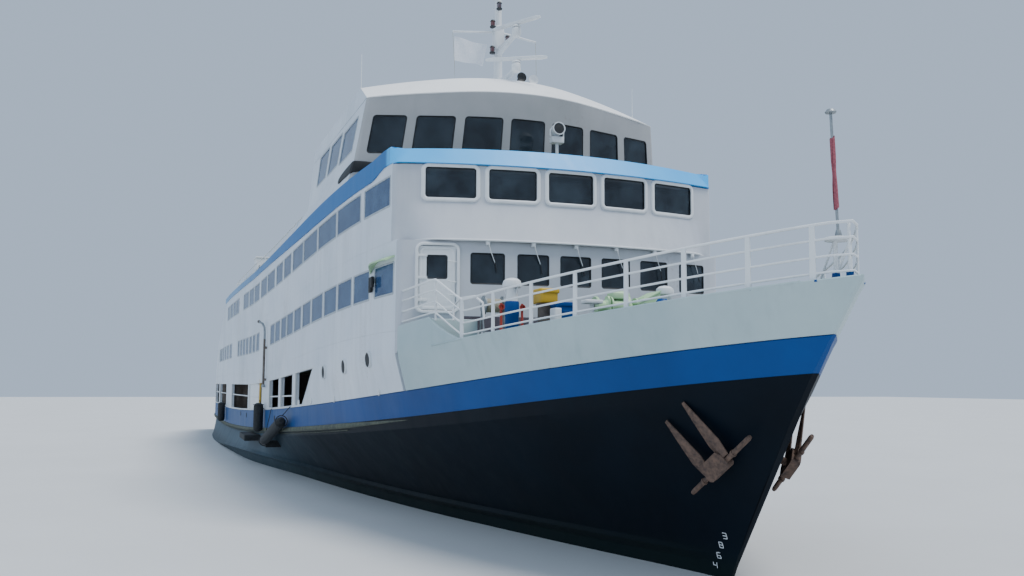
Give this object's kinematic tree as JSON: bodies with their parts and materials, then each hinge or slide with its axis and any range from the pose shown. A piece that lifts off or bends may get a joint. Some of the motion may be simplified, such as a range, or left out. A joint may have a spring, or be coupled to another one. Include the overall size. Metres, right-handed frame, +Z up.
{
  "type": "scale model passenger ferry",
  "caption": "Scale model at half size of a steel passenger ferry: black hull with blue strake, stacked saloon decks, wheelhouse, mast and radar",
  "frame": {"origin": "on the waterline, amidships, on the centreline", "axes": "+X forward to the bow, +Y to port, +Z up"},
  "size_m": [32, 6.905, 9.95],
  "materials": {
    "tinted_glass": "tinted window glass",
    "hull_black": "black hull paint, semi-gloss, with water marks",
    "hull_blue": "blue enamel on steel plating",
    "bow_grey": "pale grey-green enamel on steel plating",
    "sky_blue": "sky-blue enamel",
    "deck_grey": "dark grey deck paint",
    "rusty_iron": "rusty forged iron",
    "fender_rubber": "black moulded rubber",
    "grey_steel": "galvanised steel",
    "pale_green": "pale green machinery enamel",
    "propeller_bronze": "cast bronze",
    "flag_cloth": "woven polyester bunting",
    "red_cloth": "woven bunting, furled",
    "yellow_paint": "yellow enamel",
    "white_paint": "white marine enamel, a little streaked"
  },
  "bodies": {
    "ship": {"hull": "hull_black", "strake_stern": "hull_blue", "strake_starboard": "hull_blue", "strake_port": "hull_blue", "strake_bow": "hull_blue", "forecastle": "bow_grey", "side_aft_starboard": "white_paint", "side_aft_port": "white_paint", "side_middle_starboard": "white_paint", "side_middle_port": "white_paint", "side_fore_starboard": "white_paint", "side_fore_port": "white_paint", "deck_two_glass_starboard": "tinted_glass", "deck_two_glass_port": "tinted_glass", "deck_three_glass_starboard": "tinted_glass", "deck_three_glass_port": "tinted_glass", "deck_two": "deck_grey", "deck_three": "deck_grey", "roof_deck": "deck_grey", "deck_two_front": "white_paint", "deck_two_front_glass": "tinted_glass", "deck_three_front": "white_paint", "deck_three_front_glass": "tinted_glass", "deck_two_aft": "white_paint", "deck_three_aft": "white_paint", "roof_band": "sky_blue", "wheelhouse_front": "white_paint", "wheelhouse_glass": "tinted_glass", "wheelhouse_side_starboard": "white_paint", "wheelhouse_side_port": "white_paint", "wheelhouse_back": "white_paint", "wheelhouse_roof": "white_paint", "bow_rail": "white_paint", "roof_rail": "white_paint", "mast": "white_paint", "mast_flag": "flag_cloth", "searchlight": "white_paint", "jack_flag": "red_cloth", "windlass": "pale_green", "ventilator_starboard": "white_paint", "ventilator_port": "white_paint", "deck_box_yellow": "yellow_paint", "deck_box_blue": "hull_blue", "rope_reel": "grey_steel", "anchor_starboard": "rusty_iron", "anchor_port": "rusty_iron", "fender_aft": "fender_rubber", "fender_middle": "fender_rubber", "fender_slanting": "fender_rubber", "boarding_davit": "hull_black"},
    "aft_door": {"aft_door": "white_paint"},
    "front_door": {"front_door": "white_paint"},
    "propeller_port": {"propeller_port": "propeller_bronze"},
    "propeller_starboard": {"propeller_starboard": "propeller_bronze"},
    "radar_scanner_lower": {"radar_scanner_lower": "white_paint"},
    "radar_scanner_upper": {"radar_scanner_upper": "white_paint"},
    "rudder_port": {"rudder_port": "hull_black"},
    "rudder_starboard": {"rudder_starboard": "hull_black"},
    "wheelhouse_door": {"wheelhouse_door": "white_paint"}
  },
  "joints": [
    {"name": "propeller_starboard_spin", "type": "hinge", "parent": "ship", "child": "propeller_starboard", "pos_m": [-14.15, -1.2, -0.8], "axis": [1, 0, 0], "continuous": true},
    {"name": "propeller_port_spin", "type": "hinge", "parent": "ship", "child": "propeller_port", "pos_m": [-14.15, 1.2, -0.8], "axis": [1, 0, 0], "continuous": true},
    {"name": "rudder_starboard_turn", "type": "hinge", "parent": "ship", "child": "rudder_starboard", "pos_m": [-15.05, -1.2, -0.7], "axis": [0, 0, 1], "range_deg": [-35, 35]},
    {"name": "rudder_port_turn", "type": "hinge", "parent": "ship", "child": "rudder_port", "pos_m": [-15.05, 1.2, -0.7], "axis": [0, 0, 1], "range_deg": [-35, 35]},
    {"name": "radar_lower_spin", "type": "hinge", "parent": "ship", "child": "radar_scanner_lower", "pos_m": [8.375, 0, 6.64], "axis": [0, 0, 1], "continuous": true},
    {"name": "radar_upper_spin", "type": "hinge", "parent": "ship", "child": "radar_scanner_upper", "pos_m": [8.375, 0, 7.2], "axis": [0, 0, 1], "continuous": true},
    {"name": "front_door_swing", "type": "hinge", "parent": "ship", "child": "front_door", "pos_m": [10.4146, -1.993, 3], "axis": [0, 0, -1], "range_deg": [0, 72]},
    {"name": "wheelhouse_door_swing", "type": "hinge", "parent": "ship", "child": "wheelhouse_door", "pos_m": [3.8065, 1.043, 5], "axis": [0, 0, -1], "range_deg": [0, 100]},
    {"name": "aft_door_swing", "type": "hinge", "parent": "ship", "child": "aft_door", "pos_m": [-12.095, 0.218, 2.6], "axis": [0, 0, -1], "range_deg": [0, 100]}
  ],
  "couplings": [
    {"joint": "rudder_port_turn", "follows": "rudder_starboard_turn", "ratio": 1}
  ]
}
